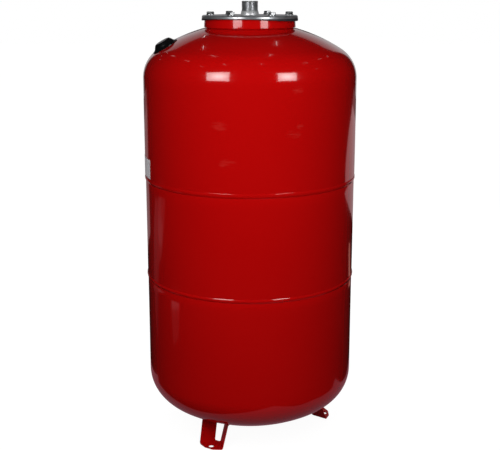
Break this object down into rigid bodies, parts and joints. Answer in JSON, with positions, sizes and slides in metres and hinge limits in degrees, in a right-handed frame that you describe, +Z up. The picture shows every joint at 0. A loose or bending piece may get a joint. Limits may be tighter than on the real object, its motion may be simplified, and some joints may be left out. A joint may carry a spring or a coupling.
{
  "type": "expansion tank",
  "caption": "vertical red expansion tank with membrane, bolted flange, threaded water nipple, black valve cover and three folded legs",
  "frame": {"origin": "on the tank's axis, on the floor under the feet", "axes": "+Z up along the tank's axis, -Y towards the front, +X to the right seen from the front"},
  "size_m": [0.4336, 0.4336, 0.8939],
  "materials": {
    "red_enamel": "glossy red enamel",
    "flange_zinc": "bright zinc plate",
    "nipple_zinc": "bright zinc plate, turned",
    "fastener_zinc": "zinc plate",
    "bare_steel": "bare steel",
    "bag_rubber": "smooth black rubber",
    "valve_brass": "machined brass",
    "black_plastic": "moulded black, satin gloss",
    "label_grey": "silver-grey film, bare"
  },
  "bodies": {
    "root": {"upper_shell": "red_enamel", "middle_ring": "red_enamel", "lower_shell": "red_enamel", "upper_girth_weld": "red_enamel", "lower_girth_weld": "red_enamel", "neck_collar": "red_enamel", "gas_valve_weld": "red_enamel", "front_leg": "red_enamel", "right_leg": "red_enamel", "rear_leg": "red_enamel", "front_leg_welds": "red_enamel", "right_leg_welds": "red_enamel", "rear_leg_welds": "red_enamel", "flange_plate": "flange_zinc", "water_nipple": "nipple_zinc", "flange_bolts": "fastener_zinc", "bolt_washers": "fastener_zinc", "weld_nuts": "bare_steel", "collar_weld": "bare_steel", "nipple_weld": "bare_steel", "membrane": "bag_rubber", "gas_valve_body": "valve_brass", "gas_valve_core": "valve_brass", "valve_cover": "black_plastic", "valve_dust_cap": "black_plastic", "rating_label": "label_grey"}
  },
  "joints": []
}
